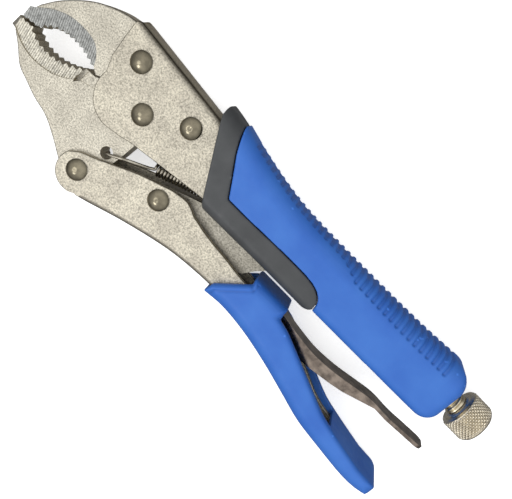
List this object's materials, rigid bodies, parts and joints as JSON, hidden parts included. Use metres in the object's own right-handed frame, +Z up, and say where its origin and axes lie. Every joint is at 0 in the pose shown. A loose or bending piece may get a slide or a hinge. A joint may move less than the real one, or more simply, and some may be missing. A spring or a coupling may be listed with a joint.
{
  "type": "locking pliers",
  "caption": "Curved-jaw locking pliers with folded steel handles, toggle lock, release lever, knurled adjusting screw and moulded blue and black grips.",
  "frame": {"origin": "middle of the tool's footprint, on the flat surface that its side lies on", "axes": "+X from the jaws towards the adjusting knob, +Y from the lower handle towards the upper handle's spine, +Z up, along the pivots"},
  "size_m": [0.246, 0.0748, 0.023],
  "materials": {
    "nickel_sheet": "satin nickel plate over folded sheet steel, with a fine dark speckle",
    "forged_steel": "satin nickel plate over a blasted forging, with milled teeth",
    "bright_nickel": "bright nickel plate",
    "knurled_nickel": "bright nickel plate over a diamond knurl",
    "plain_steel": "plain drawn steel",
    "rivet_steel": "smooth dark polished rivet heads",
    "spring_steel": "dull plated spring wire",
    "blue_grip": "satin soft blue moulding",
    "black_grip": "satin soft black moulding"
  },
  "bodies": {
    "upper_handle": {"upper_handle_channel": "nickel_sheet", "fixed_jaw": "forged_steel", "jaw_pivot_rivet": "rivet_steel", "fixed_jaw_front_rivet": "rivet_steel", "fixed_jaw_rear_rivet": "rivet_steel", "screw_bush": "nickel_sheet", "spring_anchor_pin": "plain_steel", "return_spring": "spring_steel", "upper_grip": "blue_grip", "upper_grip_band": "black_grip"},
    "lower_jaw": {"moving_jaw": "forged_steel"},
    "lower_handle": {"lower_handle_channel": "nickel_sheet", "lower_handle_rivet": "rivet_steel", "link_rivet": "rivet_steel", "release_lever_pin": "plain_steel", "lower_grip": "blue_grip"},
    "toggle": {"toggle_link": "nickel_sheet"},
    "release": {"release_lever": "bright_nickel"},
    "screw": {"adjusting_screw": "bright_nickel"},
    "knob": {"adjusting_knob": "knurled_nickel"}
  },
  "joints": [
    {"name": "jaw_pivot", "type": "hinge", "parent": "upper_handle", "child": "lower_jaw", "pos_m": [-0.05965, 0.01052, 0.0115], "axis": [0, 0, 1], "range_deg": [0, 20], "deforming": ["return_spring"]},
    {"name": "lower_handle_pivot", "type": "hinge", "parent": "lower_jaw", "child": "lower_handle", "pos_m": [-0.06445, -0.02488, 0.0115], "axis": [0, 0, 1], "range_deg": [-64, 0]},
    {"name": "link_pivot", "type": "hinge", "parent": "lower_handle", "child": "toggle", "pos_m": [-0.03245, -0.00938, 0.0115], "axis": [0, 0, 1], "range_deg": [0, 68]},
    {"name": "release_lever_pivot", "type": "hinge", "parent": "lower_handle", "child": "release", "pos_m": [0.02635, -0.01448, 0.0115], "axis": [0, 0, 1], "range_deg": [-8, 0]},
    {"name": "screw_travel", "type": "slide", "parent": "upper_handle", "child": "screw", "axis": [1, 0, 0], "range_m": [0, 0.016]},
    {"name": "knob_turn", "type": "hinge", "parent": "screw", "child": "knob", "pos_m": [0.11055, 0.01732, 0.0115], "axis": [1, 0, 0], "range_deg": [0, 2880]}
  ],
  "couplings": [
    {"joint": "lower_handle_pivot", "follows": "jaw_pivot", "ratio": -3.2},
    {"joint": "link_pivot", "follows": "jaw_pivot", "ratio": 3.4},
    {"joint": "knob_turn", "follows": "screw_travel", "rad_per_m": 3141.6}
  ]
}
